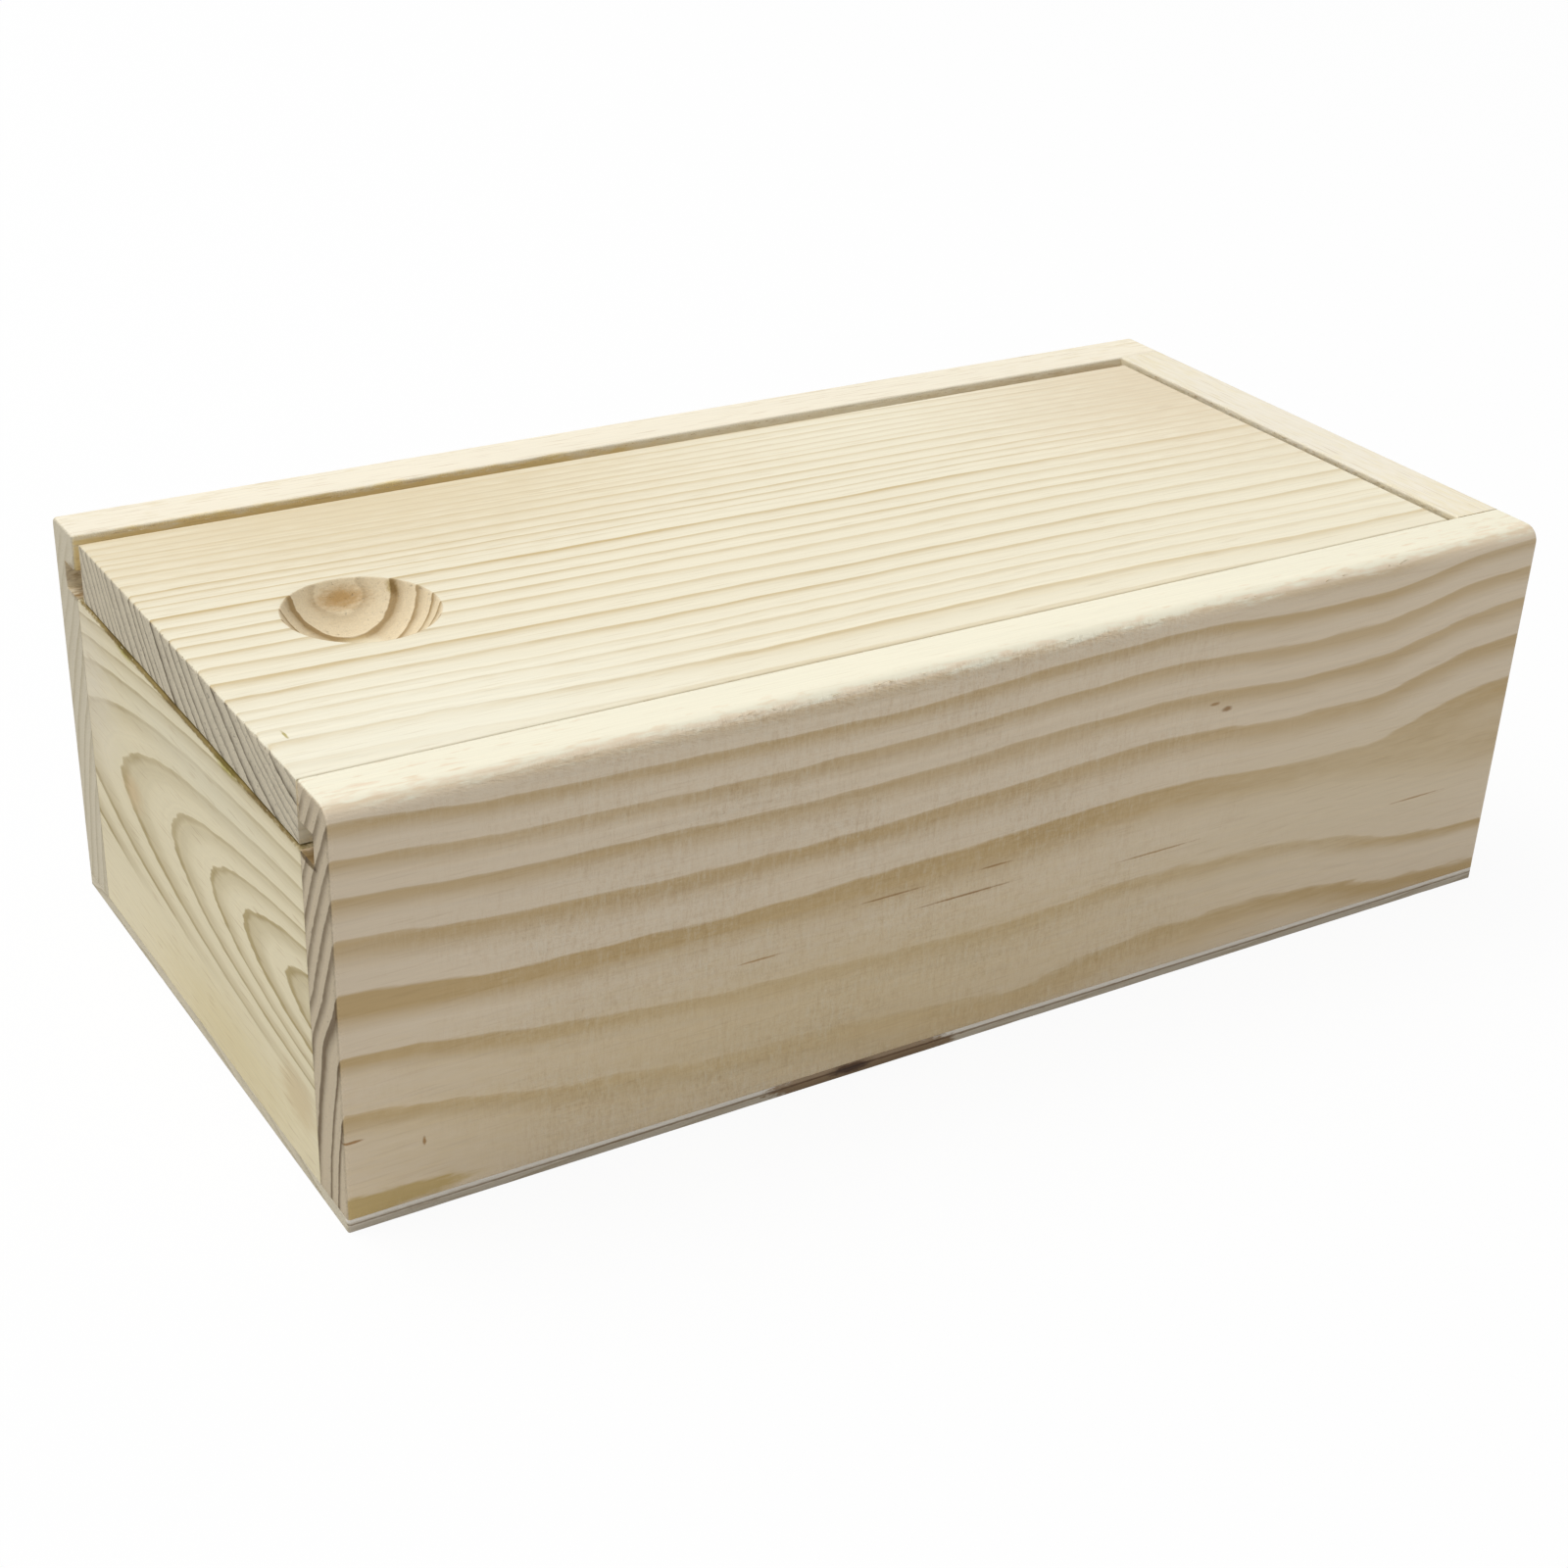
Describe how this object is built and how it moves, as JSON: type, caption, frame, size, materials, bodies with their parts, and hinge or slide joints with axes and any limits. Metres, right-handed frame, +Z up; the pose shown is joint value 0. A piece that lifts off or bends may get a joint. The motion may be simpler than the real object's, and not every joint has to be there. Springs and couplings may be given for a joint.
{
  "type": "sliding lid wooden box",
  "caption": "Small long box of pale softwood boards with a flush lid that slides out of its front in grooves and has a round finger recess.",
  "frame": {"origin": "middle of the underside, on the surface that the box stands on", "axes": "X across the width, Y along the length with the front, where the lid comes out, at -Y, Z up"},
  "size_m": [0.102, 0.2, 0.062],
  "materials": {
    "side_wood": "bare sanded softwood, flat sawn with wavy tan bands",
    "end_wood": "bare sanded softwood with arched grain",
    "plywood": "bare thin plywood, pale face veneers on a darker core",
    "lid_wood": "bare sanded softwood with fine straight grain"
  },
  "bodies": {
    "case": {"side_left": "side_wood", "side_right": "side_wood", "front_wall": "end_wood", "back_wall": "end_wood", "bottom_panel": "plywood"},
    "lid": {"lid": "lid_wood"}
  },
  "joints": [
    {"name": "lid_slide", "type": "slide", "parent": "case", "child": "lid", "axis": [0, -1, 0], "range_m": [0, 0.2]}
  ]
}
